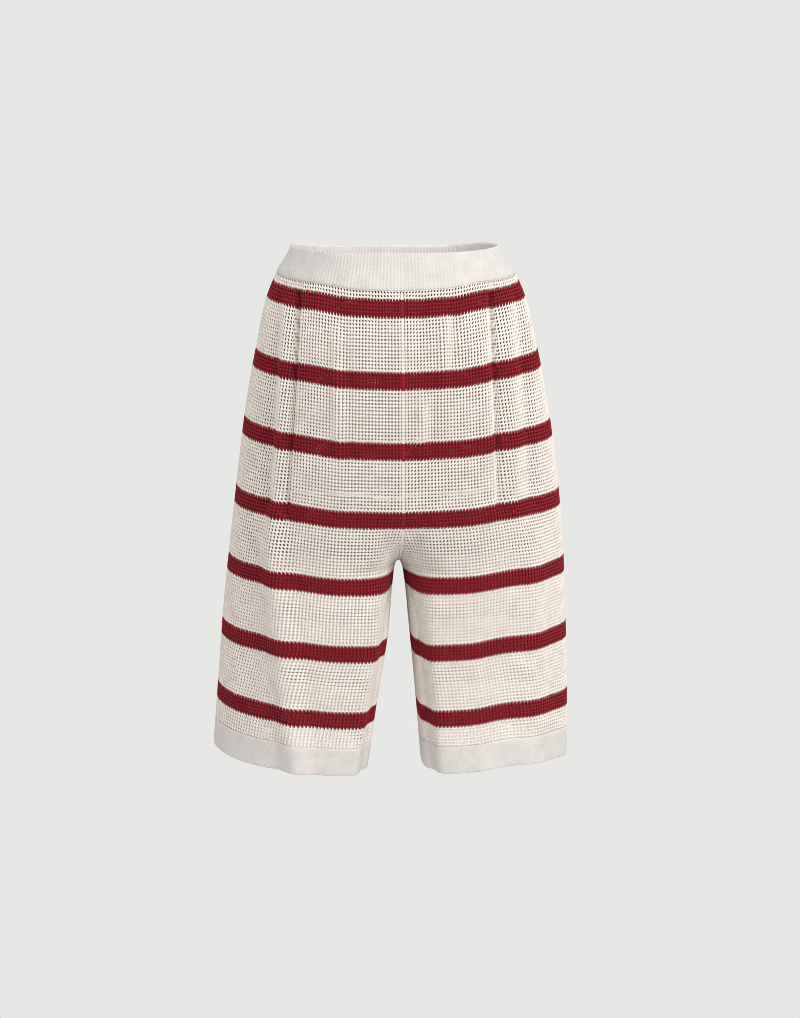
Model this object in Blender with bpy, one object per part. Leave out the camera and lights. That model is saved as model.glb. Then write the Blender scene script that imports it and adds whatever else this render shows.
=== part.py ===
"""Knitted bermuda shorts, filled out as worn and hollow.

Four panels of open knit hang from a rib waistband and end in plain hem bands. Every piece is a wall
of cloth around a hollow. Units are metres, +Z is up, the front faces -Y and the wearer's left is +X.
The origin is the middle of the waist, half way up the waistband.
"""
import bpy
import numpy as np

# Driving sizes
WAIST_EDGE = 0.020           # upper edge of the waistband
WAIST_SEAM = -0.0228         # seam below the waistband, at the centre front
KNIT_ROW = 0.00415           # height of one row of the open knit
KNIT_ROWS = 134.4            # rows from the waistband to the hem bands
HEM_EDGE = -0.6120           # lower edge of the hem bands, on the front of the leg
HEM_SEAM = WAIST_SEAM - KNIT_ROW * KNIT_ROWS
FIRST_STRIPE = 2.6           # rows of cream above the first red stripe
STRIPE_ROWS = 5              # rows of red in a stripe
REPEAT_ROWS = 20             # rows from one stripe to the next
STRIPES = 7
CROTCH_Z = -0.360            # where the four panels meet between the legs
CROTCH_Y = -0.022
FRONT_HOOK = 0.085           # height over which the centre front seam curves back to the crotch
BACK_HOOK = 0.115            # the same for the centre back seam
GUSSET_DROP = 0.016          # height of the arch between the legs just below the crotch
INSEAM_SETBACK = 0.026       # how far the inseam lies behind the front of the leg
INSEAM_RUN = 0.042           # drop below the crotch in which the inseam reaches that place
INSEAM_LIP = 0.009           # how far the back panel stands past the inseam, towards the other leg
PANEL_WALL = 0.0020          # thickness of the open knit
WAISTBAND_WALL = 0.0032      # rib, folded double
HEM_WALL = 0.0026            # plain knit, folded double
EDGE_ROUNDING = 0.35         # rise of a folded edge, as a share of the wall
SEAM_GAP = 0.0003            # clearance between neighbouring pieces

LEVEL_SHARE = 0.12           # share of the way out over which a row stays level
LIP_TURN = 1.6               # how sharply the front turns in at the inseam
CORNER = (0.0135, 0.0155)    # roundness of the leg's inner corners, front and back
CORNER_LIFT = 0.30           # how far the front's inner corner is filled at the crotch
WEB_KNUCKLE = (0.75, 0.85, 0.70, 0.50, 0.35)   # share of the knuckle at which the web leaves the panel
WEB_DEPTH = (0.93, 0.45, 0.05)                 # share of the depth behind the inner seam
ARCH_DEPTH = (0.012, 0.005)  # length over which front and back run straight into the arch

# Rows and columns of points on the panels
HOOK_ROWS = 8                # extra rows where the centre seams curve back
GUSSET_ROWS = 4              # extra rows in the arch between the legs
CLOSEST_ROWS = 0.0025
FRONT_COLUMNS = 24
BACK_COLUMNS = 22
WAISTBAND_ROWS = 4
HEM_ROWS = 3
PLEAT_SHARE = 0.42           # where on the front's arc the pleat lies, from the side seam
PLEAT_SPREAD = 0.12
PLEAT_DENSITY = 1.1

# The figure, level by level. out: outer side of the wearer's right or left; in: inner side of the leg;
# knuckle: where the front is furthest forward, from the centre above and from the crease of the leg
# below; front and back: depth; rise: how far a row climbs towards the side; side: the side seam,
# before or behind the middle; dip: how far a row drops at the centre back.
LEVEL_COLUMNS = ("z", "out_right", "out_left", "in_right", "in_left", "knuckle", "front", "back",
                 "rise_right", "rise_left", "side_right", "side_left", "dip")
LEVELS = np.array([
    (0.020, 0.1310, 0.1215, 0.0000, 0.0000, 0.026, -0.085, 0.082, 0.001, 0.000, 0.000, -0.003, 0.007),
    (0.000, 0.1375, 0.1330, 0.0000, 0.0000, 0.028, -0.087, 0.084, 0.002, 0.001, 0.000, -0.004, 0.007),
    (-0.020, 0.1440, 0.1425, 0.0000, 0.0000, 0.030, -0.090, 0.088, 0.005, 0.004, 0.000, -0.010, 0.006),
    (-0.048, 0.1530, 0.1500, 0.0000, 0.0000, 0.034, -0.099, 0.100, 0.009, 0.009, 0.000, -0.026, 0.004),
    (-0.110, 0.1675, 0.1655, 0.0000, 0.0000, 0.040, -0.112, 0.116, 0.010, 0.009, 0.000, -0.030, 0.001),
    (-0.190, 0.1820, 0.1830, 0.0000, 0.0000, 0.046, -0.117, 0.124, 0.010, 0.007, 0.000, -0.018, 0.000),
    (-0.280, 0.1940, 0.1975, 0.0000, 0.0000, 0.052, -0.117, 0.121, 0.008, 0.002, 0.000, -0.006, 0.000),
    (-0.360, 0.2040, 0.2050, 0.0105, 0.0115, 0.058, -0.113, 0.113, 0.007, 0.000, 0.000, -0.004, 0.000),
    (-0.440, 0.2125, 0.2085, 0.0150, 0.0155, 0.062, -0.108, 0.106, 0.008, 0.000, 0.002, -0.006, 0.000),
    (-0.520, 0.2190, 0.2105, 0.0265, 0.0220, 0.070, -0.104, 0.102, 0.010, -0.001, 0.004, -0.012, 0.000),
    (-0.612, 0.2265, 0.2100, 0.0400, 0.0300, 0.080, -0.100, 0.100, 0.011, -0.006, 0.006, -0.020, 0.000),
])

# How full the section is between knuckle and side: share of the way out, share of the depth
FRONT_FULLNESS = ((0.36, 0.95), (0.70, 0.70), (0.93, 0.36), (1.00, 0.12))
BACK_FULLNESS = ((0.42, 0.98), (0.78, 0.80), (0.97, 0.44), (1.00, 0.15))

# Folds: troughs have a negative depth. x_top and x_bottom are distances from the centre, reach is
# half the width, z_top and z_bottom say where the fold starts and ends, and onset is the height over
# which it starts.
FOLD_COLUMNS = ("panel", "x_top", "x_bottom", "reach", "depth", "z_top", "z_bottom", "onset")
FOLDS = (
    ("front_right", 0.121, 0.129, 0.012, -0.0060, -0.0228, -0.320, 0.010),   # the pleat
    ("front_right", 0.139, 0.147, 0.018, 0.0045, -0.0228, -0.330, 0.020),    # its outer fold
    ("front_right", 0.134, 0.142, 0.034, 0.0090, -0.260, -0.700, 0.080),     # crease down the leg
    ("front_right", 0.160, 0.182, 0.024, -0.0035, -0.080, -0.560, 0.060),
    ("front_right", 0.078, 0.074, 0.016, -0.0030, -0.0228, -0.140, 0.010),   # gathers at the waistband
    ("front_right", 0.028, 0.032, 0.015, -0.0022, -0.0228, -0.170, 0.010),
    ("front_left", 0.112, 0.117, 0.012, -0.0060, -0.0228, -0.310, 0.010),
    ("front_left", 0.130, 0.137, 0.018, 0.0045, -0.0228, -0.320, 0.020),
    ("front_left", 0.157, 0.165, 0.032, 0.0060, -0.280, -0.700, 0.080),
    ("front_left", 0.112, 0.120, 0.030, -0.0035, -0.380, -0.640, 0.060),
    ("front_left", 0.022, 0.018, 0.016, -0.0028, -0.0228, -0.200, 0.010),
    ("front_left", 0.066, 0.060, 0.016, -0.0020, -0.0228, -0.120, 0.010),
    ("back_right", 0.030, 0.034, 0.017, -0.0028, -0.0228, -0.150, 0.010),
    ("back_right", 0.070, 0.078, 0.018, -0.0035, -0.0228, -0.190, 0.010),
    ("back_right", 0.108, 0.122, 0.017, -0.0028, -0.0228, -0.130, 0.010),
    ("back_right", 0.128, 0.138, 0.036, 0.0065, -0.330, -0.700, 0.080),
    ("back_left", 0.034, 0.030, 0.017, -0.0024, -0.0228, -0.130, 0.010),
    ("back_left", 0.064, 0.070, 0.018, -0.0038, -0.0228, -0.170, 0.010),
    ("back_left", 0.104, 0.114, 0.017, -0.0026, -0.0228, -0.150, 0.010),
    ("back_left", 0.126, 0.132, 0.036, 0.0060, -0.350, -0.700, 0.080),
)
FOLD_FADE = 0.060            # height over which a fold ends
FOLD_SIDE = 0.024            # width before the side seam over which a fold runs out

PANELS = ("front_right", "front_left", "back_right", "back_left")
# Rings: zone, the panels they continue, wall, and whether the rounded free edge is the upper one
RINGS = {
    "waistband": ("waistband", ("front_left", "front_right", "back_right", "back_left"), WAISTBAND_WALL, True),
    "hem_right": ("hems", ("back_right", "front_right"), HEM_WALL, False),
    "hem_left": ("hems", ("front_left", "back_left"), HEM_WALL, False),
}
CREAM = (0.78, 0.74, 0.68, 1.0)
RED = (0.30, 0.02, 0.03, 1.0)


def smoothstep(value):
    value = np.clip(value, 0.0, 1.0)
    return value * value * (3.0 - 2.0 * value)


def level(name, heights):
    """A column of LEVELS at the given heights, on a cubic curve through its rows."""
    table = LEVELS[::-1]
    knots = table[:, 0]
    values = table[:, LEVEL_COLUMNS.index(name)]
    slopes = np.gradient(values, knots)
    heights = np.clip(heights, knots[0], knots[-1])
    row = np.clip(np.searchsorted(knots, heights) - 1, 0, len(knots) - 2)
    span = knots[row + 1] - knots[row]
    t = (heights - knots[row]) / span
    return ((2 * t**3 - 3 * t**2 + 1) * values[row] + (t**3 - 2 * t**2 + t) * span * slopes[row]
            + (3 * t**2 - 2 * t**3) * values[row + 1] + (t**3 - t**2) * span * slopes[row + 1])


def spline_weights(controls, samples):
    """Weights of a clamped cubic B-spline: samples x controls."""
    degree = 3
    knots = np.concatenate([np.zeros(degree), np.linspace(0, 1, controls - degree + 1), np.ones(degree)])
    t = np.linspace(0.0, 1.0, samples)
    t[-1] -= 1e-12
    weights = ((t[:, None] >= knots[:-1]) & (t[:, None] < knots[1:])).astype(float)
    for order in range(1, degree + 1):
        rising = knots[order:-1] - knots[:-1 - order]
        falling = knots[order + 1:] - knots[1:-order]
        left = (t[:, None] - knots[:-1 - order]) / np.where(rising > 0, rising, 1.0) * (rising > 0)
        right = (knots[order + 1:] - t[:, None]) / np.where(falling > 0, falling, 1.0) * (falling > 0)
        weights = left * weights[:, :-1] + right * weights[:, 1:]
    return weights


def inner_seam(leg, face, z):
    """Where a panel ends at heights z: on a centre seam above the crotch, on the inseam below it.

    web runs from 0 at the crotch to 1 where the centre seam begins to curve back, arch from 0 at the
    crotch to 1 where the legs have parted, and forward from 0 to 1 as the inseam nears the front.
    """
    depth = level(face, z)
    above = np.clip(z - CROTCH_Z, 0.0, None)
    below = np.clip(CROTCH_Z - z, 0.0, None)
    web = np.clip(above / (FRONT_HOOK if face == "front" else BACK_HOOK), 0.0, 1.0)
    arch = np.sqrt(1 - (1 - np.clip(below / GUSSET_DROP, 0.0, 1.0))**2)
    forward = 1 - np.exp(-below / INSEAM_RUN)
    centre_y = CROTCH_Y + (depth - CROTCH_Y) * np.sqrt(1 - (1 - web)**2)
    inseam_y = CROTCH_Y + (level("front", z) + INSEAM_SETBACK - CROTCH_Y) * forward
    gap = level("in_" + leg, np.minimum(z, CROTCH_Z))
    return gap, np.where(z < CROTCH_Z, inseam_y, centre_y), web, arch, forward


def section(panel, z, samples=240):
    """Sections of one panel at heights z, from the side seam to the inner seam.

    Each is a cubic B-spline whose control points are the side seam, the fullness of the outer half,
    the knuckle, and either the web that joins the legs or the inner side of the leg.
    """
    face, leg = panel.split("_")
    gap, end_y, web, arch, forward = inner_seam(leg, face, z)
    out, knuckle = level("out_" + leg, z), level("knuckle", z)
    depth, side = level(face, z), level("side_" + leg, z)
    points = [(out, side)]
    for across, deep in reversed(FRONT_FULLNESS if face == "front" else BACK_FULLNESS):
        toward_side = max(0.0, (across - 0.85) / 0.15)
        points.append((knuckle + across * (out - knuckle), deep * depth + toward_side * side))
    reach = end_y - depth
    still = 1 - forward
    parted = gap * arch
    root = np.sqrt(1 - (1 - web)**2)
    web = smoothstep(web)
    near_end = parted + 0.001 * (1 - arch) + (WEB_KNUCKLE[4] * knuckle - 0.001) * root
    if face == "front":
        corner = gap + CORNER[0]
        points += [
            (0.9 * knuckle, depth),
            (corner + (WEB_KNUCKLE[0] * knuckle - corner) * web, depth + CORNER_LIFT * reach * still + 0.002 * forward),
            (near_end + LIP_TURN * INSEAM_LIP * forward, end_y - ARCH_DEPTH[0] * arch),
        ]
    else:
        corner = gap + CORNER[1]
        inner = gap + 0.004
        points += [
            (knuckle, depth),
            (corner - 0.004 * forward + (WEB_KNUCKLE[1] * knuckle - corner) * web, end_y - WEB_DEPTH[0] * reach),
            (inner - 0.004 * forward + (WEB_KNUCKLE[2] * knuckle - inner) * web, end_y - WEB_DEPTH[1] * reach),
            (parted - 0.001 * forward + 0.003 * still + (WEB_KNUCKLE[3] * knuckle - 0.003) * root,
             end_y - WEB_DEPTH[2] * reach * still + 0.018 * forward),
            (near_end + 0.3 * INSEAM_LIP * forward, end_y + ARCH_DEPTH[1] * arch * still + 0.004 * forward),
        ]
    points.append((parted + INSEAM_LIP * forward, end_y))
    controls = np.stack([np.stack(np.broadcast_arrays(x, y), axis=-1) for x, y in points], axis=1)
    return np.einsum("sk,rkc->rsc", spline_weights(controls.shape[1], samples), controls)


def column_places(panel, shares):
    """Places along the section's spline of the columns at the given shares of its mean arc."""
    steps = np.linalg.norm(np.diff(section(panel, LEVELS[:, 0]), axis=1), axis=2)
    steps = (steps / steps.sum(axis=1, keepdims=True)).mean(axis=0)
    arc = np.concatenate([[0.0], np.cumsum(steps)])
    return np.interp(shares, arc, np.arange(len(arc)))


def panel_points(panel, z, shares):
    """A grid of points on a panel: one row for each height, one column for each share of the arc."""
    face, leg = panel.split("_")
    curve = section(panel, z)
    places = column_places(panel, shares)
    before = np.minimum(places.astype(int), curve.shape[1] - 2)
    part = (places - before)[:, None]
    grid = np.zeros((len(z), len(shares), 3))
    grid[..., :2] = curve[:, before] * (1 - part) + curve[:, before + 1] * part
    out, depth, side = (level(name, z)[:, None] for name in ("out_" + leg, face, "side_" + leg))
    from_side = np.clip((grid[..., 1] - side) / (depth - side), 0.0, 1.0)
    outward = np.clip(grid[..., 0] / out, 0.0, 1.0)
    climb = np.clip((outward - LEVEL_SHARE) / (1 - LEVEL_SHARE), 0.0, 1.0)**2
    grid[..., 2] = z[:, None] + level("rise_" + leg, z)[:, None] * (1 - from_side) * climb
    if face == "back":
        grid[..., 2] -= level("dip", z)[:, None] * smoothstep(1 - outward)
    if leg == "right":
        grid[..., 0] *= -1
    return grid


def fold_relief(panel, points):
    """How far the folds move each point out along its normal: one cosine bell across each fold."""
    x, z = np.abs(points[..., 0]), points[..., 2]
    to_side = x[:, :1] - x
    relief = np.zeros_like(x)
    for row in FOLDS:
        fold = dict(zip(FOLD_COLUMNS, row))
        if fold["panel"] != panel:
            continue
        down = np.clip((fold["z_top"] - z) / (fold["z_top"] - fold["z_bottom"]), 0.0, 1.0)
        centre = fold["x_top"] + (fold["x_bottom"] - fold["x_top"]) * down
        across = np.clip(np.abs(x - centre) / fold["reach"], 0.0, 1.0)
        begin = smoothstep((fold["z_top"] - z) / fold["onset"])
        end = smoothstep((z - fold["z_bottom"]) / FOLD_FADE)
        relief += fold["depth"] * 0.5 * (1 + np.cos(np.pi * across)) * begin * end
    return relief * smoothstep(to_side / FOLD_SIDE)


def outward_sign(panel):
    """+1 where the cross product of columns and rows points out of the garment, -1 where it points in."""
    return -1.0 if panel in ("front_right", "back_left") else 1.0


def shared_normals(grids):
    """Outward unit normals of all grids together, so that neighbours lean alike at their seams."""
    points = np.concatenate([grid.reshape(-1, 3) for grid in grids.values()])
    merged = np.unique(np.round(points, 6), axis=0, return_inverse=True)[1].reshape(-1)
    totals = np.zeros((merged.max() + 1, 3))
    start = 0
    for (zone, panel), grid in grids.items():
        rows, columns = grid.shape[:2]
        index = merged[start:start + rows * columns].reshape(rows, columns)
        facing = np.cross(grid[:-1, :-1] - grid[1:, 1:], grid[:-1, 1:] - grid[1:, :-1])
        facing *= outward_sign(panel)
        for corner in (index[:-1, :-1], index[:-1, 1:], index[1:, :-1], index[1:, 1:]):
            np.add.at(totals, corner.ravel(), facing.reshape(-1, 3))
        start += rows * columns
    totals /= np.linalg.norm(totals, axis=1, keepdims=True)
    normals = totals[merged]
    ends = np.cumsum([grid.shape[0] * grid.shape[1] for grid in grids.values()])[:-1]
    return {key: part.reshape(grid.shape)
            for (key, grid), part in zip(grids.items(), np.split(normals, ends))}


def draw_back(grid, normals, edges, sign=1.0):
    """Moves the named sewn edges in by half a seam gap, square to the seam and along the cloth.

    sign is that of the grid: +1 where columns x rows face out.
    """
    drawn = grid.copy()
    for edge in edges:
        place, inward = {"top": (np.s_[0], 1.0), "bottom": (np.s_[-1], -1.0),
                         "inner": (np.s_[:, -1], 1.0), "side": (np.s_[:, 0], -1.0)}[edge]
        across = inward * sign * np.cross(normals[place], np.gradient(grid[place], axis=0))
        drawn[place] += SEAM_GAP / 2 * across / np.linalg.norm(across, axis=1, keepdims=True)
    return drawn


def triangles(index):
    """Two triangles between each four neighbours of an index grid, all split along the same diagonal."""
    a, b, c, d = index[:-1, :-1], index[:-1, 1:], index[1:, 1:], index[1:, :-1]
    return np.concatenate([np.stack([a, b, c], -1).reshape(-1, 3), np.stack([a, c, d], -1).reshape(-1, 3)])


def panel_wall(name, grid, normals):
    """A sheet with thickness: outer face, inner face and a rim all round."""
    rows, columns = grid.shape[:2]
    outer = grid + normals * PANEL_WALL / 2
    inner = grid - normals * PANEL_WALL / 2
    outside = np.arange(rows * columns).reshape(rows, columns)
    inside = outside + rows * columns
    border = np.concatenate([outside[0], outside[1:, -1], outside[-1, -2::-1], outside[-2:0:-1, 0]])
    border = np.append(border, border[0])
    rim = np.stack([border, border + rows * columns])
    faces = np.concatenate([triangles(outside), triangles(inside)[:, ::-1], triangles(rim)[:, ::-1]])
    if outward_sign(name) < 0:
        faces = faces[:, ::-1]
    return np.concatenate([outer.reshape(-1, 3), inner.reshape(-1, 3)]), faces


def ring_wall(grid, normals, wall, top_is_rounded):
    """A band round a hollow. Its profile runs along the outside, over one rounded edge, and back inside."""
    if not top_is_rounded:
        grid, normals = grid[::-1], normals[::-1]
    lift = grid[0] - grid[1]
    lift *= wall * EDGE_ROUNDING / np.linalg.norm(lift, axis=-1, keepdims=True)
    profile = np.concatenate([(grid + normals * wall / 2)[::-1], (grid[0] + lift)[None], grid - normals * wall / 2])
    rows, columns = profile.shape[:2]
    index = np.arange(rows * columns).reshape(rows, columns)
    index = np.concatenate([index, index[:1]])
    index = np.concatenate([index, index[:, :1]], axis=1)
    faces = triangles(index)
    return profile.reshape(-1, 3), faces[:, ::-1] if top_is_rounded else faces


def stripe_edges():
    """Knit rows at which the panels' levels lie: every five rows, so that stripes begin and end on one."""
    last = FIRST_STRIPE + REPEAT_ROWS * (STRIPES - 1) + STRIPE_ROWS
    return np.arange(FIRST_STRIPE, last + 0.5, STRIPE_ROWS)


def panel_heights():
    """Heights of a panel's levels, closer together where the crotch curves."""
    main = WAIST_SEAM - KNIT_ROW * np.concatenate([[0.0], stripe_edges(), [KNIT_ROWS]])
    turn = np.linspace(0, np.pi / 2, HOOK_ROWS + 1)
    hook = CROTCH_Z + BACK_HOOK * (1 - np.sin(turn))
    turn = np.linspace(0, np.pi / 2, GUSSET_ROWS + 1)
    arch = CROTCH_Z - GUSSET_DROP * (1 - np.cos(turn[1:]))
    extra = np.concatenate([hook, arch])
    clear = np.abs(extra[:, None] - main).min(axis=1) > CLOSEST_ROWS
    return np.sort(np.concatenate([main, extra[clear]]))[::-1]


def column_shares(face):
    """Shares of the arc at which a panel's columns lie, closer together round the front's pleat."""
    if face == "back":
        return np.linspace(0.0, 1.0, BACK_COLUMNS)
    fine = np.linspace(0.0, 1.0, 400)
    density = 1 + PLEAT_DENSITY * np.exp(-((fine - PLEAT_SHARE) / PLEAT_SPREAD)**2)
    total = np.concatenate([[0.0], np.cumsum((density[1:] + density[:-1]) / 2)])
    return np.interp(np.linspace(0.0, total[-1], FRONT_COLUMNS), total, fine)


def cloth():
    """Points and normals of all the cloth, keyed by zone and panel, with its folds."""
    zones = {
        "waistband": np.linspace(WAIST_EDGE, WAIST_SEAM, WAISTBAND_ROWS),
        "panels": panel_heights(),
        "hems": np.linspace(HEM_SEAM, HEM_EDGE, HEM_ROWS),
    }
    grids = {(zone, panel): panel_points(panel, z, column_shares(panel.split("_")[0]))
             for zone, z in zones.items() for panel in PANELS}
    normals = shared_normals(grids)
    for key, grid in grids.items():
        grids[key] = grid + normals[key] * fold_relief(key[1], grid)[..., None]
    return grids, shared_normals(grids)


def ring(grids, zone, panels):
    """One closed ring of columns from the grids of its panels, each left out where the next begins."""
    parts = []
    for panel in panels:
        grid = grids[zone, panel]
        parts.append(grid[:, :-1] if outward_sign(panel) > 0 else grid[:, :0:-1])
    return np.concatenate(parts, axis=1)


def material(name, colour, roughness):
    """A Principled BSDF of one colour."""
    made = bpy.data.materials.new(name)
    made.use_nodes = True
    shader = made.node_tree.nodes["Principled BSDF"]
    shader.inputs["Base Color"].default_value = colour
    shader.inputs["Roughness"].default_value = roughness
    made.diffuse_color = colour
    return made


def add_piece(name, points, faces, materials, collection, slots=None):
    """A mesh object in the collection, its faces in the given material slots."""
    mesh = bpy.data.meshes.new(name)
    mesh.from_pydata(points.tolist(), [], faces.tolist())
    for made in materials:
        mesh.materials.append(made)
    if slots is not None:
        mesh.polygons.foreach_set("material_index", slots)
    mesh.shade_smooth()
    piece = bpy.data.objects.new(name, mesh)
    collection.objects.link(piece)
    return piece


def stripe_slots(faces, points):
    """0 for a face in the cream, 1 for a face in a red stripe, by its height above the crease line."""
    heights = panel_heights()
    rows = len(heights)
    columns = len(points) // (2 * rows)
    row = (faces % (rows * columns)) // columns
    knit_row = (WAIST_SEAM - (heights[row.min(axis=1)] + heights[row.max(axis=1)]) / 2) / KNIT_ROW
    in_repeat = (knit_row - FIRST_STRIPE) % REPEAT_ROWS
    return ((in_repeat < STRIPE_ROWS) & (knit_row > FIRST_STRIPE)).astype(int)


def main():
    for old in list(bpy.data.objects):
        bpy.data.objects.remove(old)
    collection = bpy.data.collections.new("bermuda shorts")
    bpy.context.scene.collection.children.link(collection)
    grids, normals = cloth()
    for panel in PANELS:
        lean = normals["panels", panel]
        sheet = draw_back(grids["panels", panel], lean, ("top", "bottom", "side", "inner"), outward_sign(panel))
        points, faces = panel_wall(panel, sheet, lean)
        knit = [material(panel + " cream knit", CREAM, 0.9), material(panel + " red knit", RED, 0.9)]
        add_piece(panel, points, faces, knit, collection, stripe_slots(faces, points))
    for name, (zone, panels, wall, top_is_rounded) in RINGS.items():
        lean = ring(normals, zone, panels)
        band = draw_back(ring(grids, zone, panels), lean, ("bottom",) if top_is_rounded else ("top",))
        points, faces = ring_wall(band, lean, wall, top_is_rounded)
        add_piece(name, points, faces, [material(name + " knit", CREAM, 0.85)], collection)


if __name__ == "__main__":
    main()
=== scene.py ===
"""Knitted bermuda shorts, worn and hollow: open-knit panels with red stripes, rib waistband, plain hems.

The open knit is a real net: every hole is a hole, and the yarn round it has a front and a back. It is
knitted on smooth sheets that follow the frame's panels to within a few millimetres, with rows that climb
a little more over the hips and finer folds. Units are metres, +Z is up, the front faces -Y and the
wearer's left is +X.
"""
import math

import bpy
import numpy as np
from bpy.props import FloatProperty, FloatVectorProperty, IntProperty, PointerProperty
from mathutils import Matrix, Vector


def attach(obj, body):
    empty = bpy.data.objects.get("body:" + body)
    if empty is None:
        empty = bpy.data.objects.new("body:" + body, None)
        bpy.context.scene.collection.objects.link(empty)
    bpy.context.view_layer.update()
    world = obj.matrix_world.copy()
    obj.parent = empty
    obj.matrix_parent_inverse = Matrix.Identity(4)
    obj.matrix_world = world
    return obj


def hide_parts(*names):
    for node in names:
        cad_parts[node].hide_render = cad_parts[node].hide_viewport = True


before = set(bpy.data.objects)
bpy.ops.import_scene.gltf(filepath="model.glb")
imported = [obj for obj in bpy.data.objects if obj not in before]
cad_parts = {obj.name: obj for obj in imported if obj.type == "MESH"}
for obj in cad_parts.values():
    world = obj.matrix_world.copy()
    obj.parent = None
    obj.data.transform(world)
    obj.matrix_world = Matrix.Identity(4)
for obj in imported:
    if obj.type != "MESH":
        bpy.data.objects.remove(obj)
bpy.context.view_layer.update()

bl_info = {
    "name": "Knitted Bermuda Shorts",
    "version": (1, 0, 0),
    "blender": (4, 5, 0),
    "location": "3D View > Sidebar > Shorts",
    "description": "Knits the panels, waistband, hems and seams of a pair of shorts on its frame",
    "category": "Object",
}

# Driving sizes
WAIST_EDGE = 0.0188          # upper edge of the waistband
WAIST_SEAM = -0.0228         # seam below the waistband, at the centre front
KNIT_ROW = 0.00415           # height of one row of the open knit
KNIT_ROWS = 134.4            # rows from the waistband to the hem bands
HEM_EDGE = -0.6120           # lower edge of the hem bands, on the front of the leg
HEM_SEAM = WAIST_SEAM - KNIT_ROW * KNIT_ROWS
FIRST_STRIPE = 2.6           # rows of cream above the first red stripe
STRIPE_ROWS = 5              # rows of red in a stripe
REPEAT_ROWS = 20             # rows from one stripe to the next
STRIPES = 7                  # red stripes from waist to hem
CROTCH_Z = -0.3565           # where the four panels meet between the legs
CROTCH_Y = -0.022            # the same place, from front to back
FRONT_HOOK = 0.085           # height over which the centre front seam curves back to the crotch
BACK_HOOK = 0.115            # the same for the centre back seam
GUSSET_DROP = 0.013          # height of the arch between the legs just below the crotch
INSEAM_SETBACK = 0.026       # how far the inseam lies behind the front of the leg
INSEAM_RUN = 0.042           # drop below the crotch in which the inseam reaches that place
INSEAM_LIP = 0.009           # how far the back panel stands past the inseam, towards the other leg
WAISTBAND_WALL = 0.0032      # rib, folded double
HEM_WALL = 0.0026            # plain knit, folded double
WAISTBAND_LAP = 0.0006       # how far the waistband reaches below its seam
HEM_LAP = 0.0032             # how far a hem band reaches above its seam
SEAM_WALL = 0.0012           # thickness to which a band is pressed at its seam
SEAM_BEVEL = 0.0015          # height over which it gains its full thickness
BAND_LINES = 10              # lines of points up one side of a band
BAND_SHEETS = 16             # heights at which the sheet under a band is worked out
FOLD_STEPS = 5               # lines of points round a band's folded edge
RIB_POINTS = 4               # points across one rib

LEVEL_SHARE = 0.12           # share of the way out over which a row stays level
SIDE_PULL = (0.85, 0.15)     # share of the way out where a section leans to its side seam: from, over
LIP_TURN = (1.6, 0.3)        # how sharply front and back turn in at the inseam
CORNER = (0.0135, 0.0155)    # roundness of the leg's inner corners, front and back
CORNER_LIFT = 0.30           # how far the front's inner corner is filled at the crotch
CORNER_SINK = 0.002          # and how far it lies behind the front on the leg
BELLY = 0.9                  # share of the knuckle at which the front begins to turn in
BACK_ROUND = 0.004           # how far the back's inner corners draw in down the leg
BACK_LEAD = (0.003, 0.018)   # the back's last turn: off the centre at the crotch, behind the inseam below
WEB_EDGE = 0.001             # distance of the web's end from the centre line
WEB_KNUCKLE = (0.75, 0.85, 0.70, 0.50, 0.35)   # share of the knuckle at which the web leaves the panel
WEB_DEPTH = (0.93, 0.45, 0.05)                 # share of the depth behind the inner seam
ARCH_DEPTH = (0.012, 0.005)  # length over which front and back run straight into the arch

# The figure, level by level. out: outer side of the wearer's right or left; in: inner side of the leg;
# knuckle: where the front is furthest forward, from the centre above and from the crease of the leg
# below; front and back: depth; rise: how far a row climbs towards the side; side: the side seam,
# before or behind the middle; dip: how far a row drops at the centre back.
LEVEL_COLUMNS = ("z", "out_right", "out_left", "in_right", "in_left", "knuckle", "front", "back",
                 "rise_right", "rise_left", "side_right", "side_left", "dip")
LEVELS = np.array([
    (0.020, 0.1245, 0.1205, 0.0000, 0.0000, 0.026, -0.085, 0.082, 0.0025, 0.0020, 0.000, -0.003, 0.0055),
    (0.000, 0.1325, 0.1300, 0.0000, 0.0000, 0.028, -0.087, 0.084, 0.0040, 0.0030, 0.000, -0.004, 0.0055),
    (-0.020, 0.1415, 0.1400, 0.0000, 0.0000, 0.030, -0.090, 0.088, 0.0070, 0.0055, 0.000, -0.010, 0.0055),
    (-0.048, 0.1530, 0.1500, 0.0000, 0.0000, 0.034, -0.099, 0.100, 0.0080, 0.0095, 0.000, -0.026, 0.004),
    (-0.110, 0.1675, 0.1655, 0.0000, 0.0000, 0.040, -0.112, 0.116, 0.0085, 0.0105, 0.000, -0.030, 0.001),
    (-0.190, 0.1820, 0.1830, 0.0000, 0.0000, 0.046, -0.117, 0.124, 0.010, 0.007, 0.000, -0.018, 0.000),
    (-0.280, 0.1940, 0.1975, 0.0000, 0.0000, 0.052, -0.117, 0.121, 0.008, 0.002, 0.000, -0.006, 0.000),
    (-0.360, 0.2040, 0.2050, 0.0042, 0.0047, 0.058, -0.113, 0.113, 0.007, 0.000, 0.000, -0.004, 0.000),
    (-0.400, 0.2085, 0.2070, 0.0100, 0.0106, 0.060, -0.1105, 0.1095, 0.0075, 0.000, 0.001, -0.005, 0.000),
    (-0.440, 0.2125, 0.2085, 0.0142, 0.0147, 0.062, -0.108, 0.106, 0.008, 0.000, 0.002, -0.006, 0.000),
    (-0.520, 0.2190, 0.2105, 0.0272, 0.0226, 0.070, -0.104, 0.102, 0.010, -0.001, 0.004, -0.012, 0.000),
    (-0.612, 0.2265, 0.2100, 0.0400, 0.0300, 0.080, -0.100, 0.100, 0.011, -0.006, 0.006, -0.020, 0.000),
])

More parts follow.
